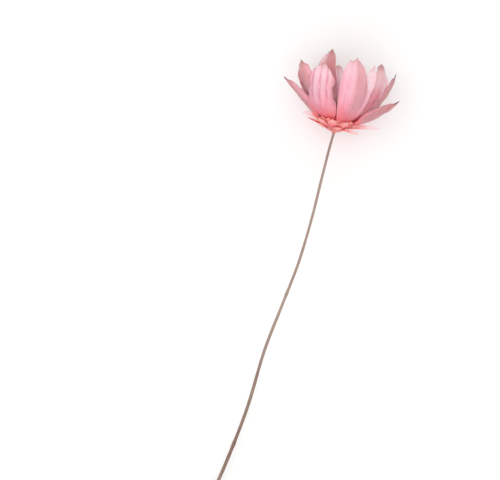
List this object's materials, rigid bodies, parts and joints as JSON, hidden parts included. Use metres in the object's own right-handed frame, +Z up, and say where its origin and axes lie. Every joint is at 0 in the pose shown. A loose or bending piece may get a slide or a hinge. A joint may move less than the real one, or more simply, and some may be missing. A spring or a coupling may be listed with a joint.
{
  "type": "dried daisy",
  "caption": "Dried daisy lying on its side: a thin, slightly bent cut stem with one cup-shaped head of papery pink petals, ragged bracts at its foot and a packed centre.",
  "frame": {"origin": "on the table, below the centre of the whole object's box seen from above", "axes": "+Z up from the table, +Y along the daisy towards its head, +X to the right when it is seen from above with the head at the top"},
  "size_m": [0.0694, 0.1626, 0.0261],
  "materials": {
    "stem": "dry, finely ridged brown stalk with a pinkish cast",
    "florets": "packed dry tubes and bristles, tan and rose brown",
    "petals": "papery and slightly see-through, pale pink with a salmon foot and grey-brown tips",
    "bracts": "papery, salmon red, with paler ragged tips"
  },
  "bodies": {
    "root": {"stem": "stem", "disc_florets": "florets", "inner_petal_1": "petals", "inner_petal_2": "petals", "inner_petal_3": "petals", "inner_petal_4": "petals", "inner_petal_5": "petals", "inner_petal_6": "petals", "inner_petal_7": "petals", "inner_petal_8": "petals", "inner_petal_9": "petals", "inner_petal_10": "petals", "outer_petal_1": "petals", "outer_petal_2": "petals", "outer_petal_3": "petals", "outer_petal_4": "petals", "bract_1": "bracts", "bract_2": "bracts", "bract_3": "bracts", "bract_4": "bracts", "bract_5": "bracts", "bract_6": "bracts", "bract_7": "bracts", "bract_8": "bracts", "bract_9": "bracts", "bract_10": "bracts", "bract_11": "bracts", "bract_12": "bracts", "bract_13": "bracts"}
  },
  "joints": []
}
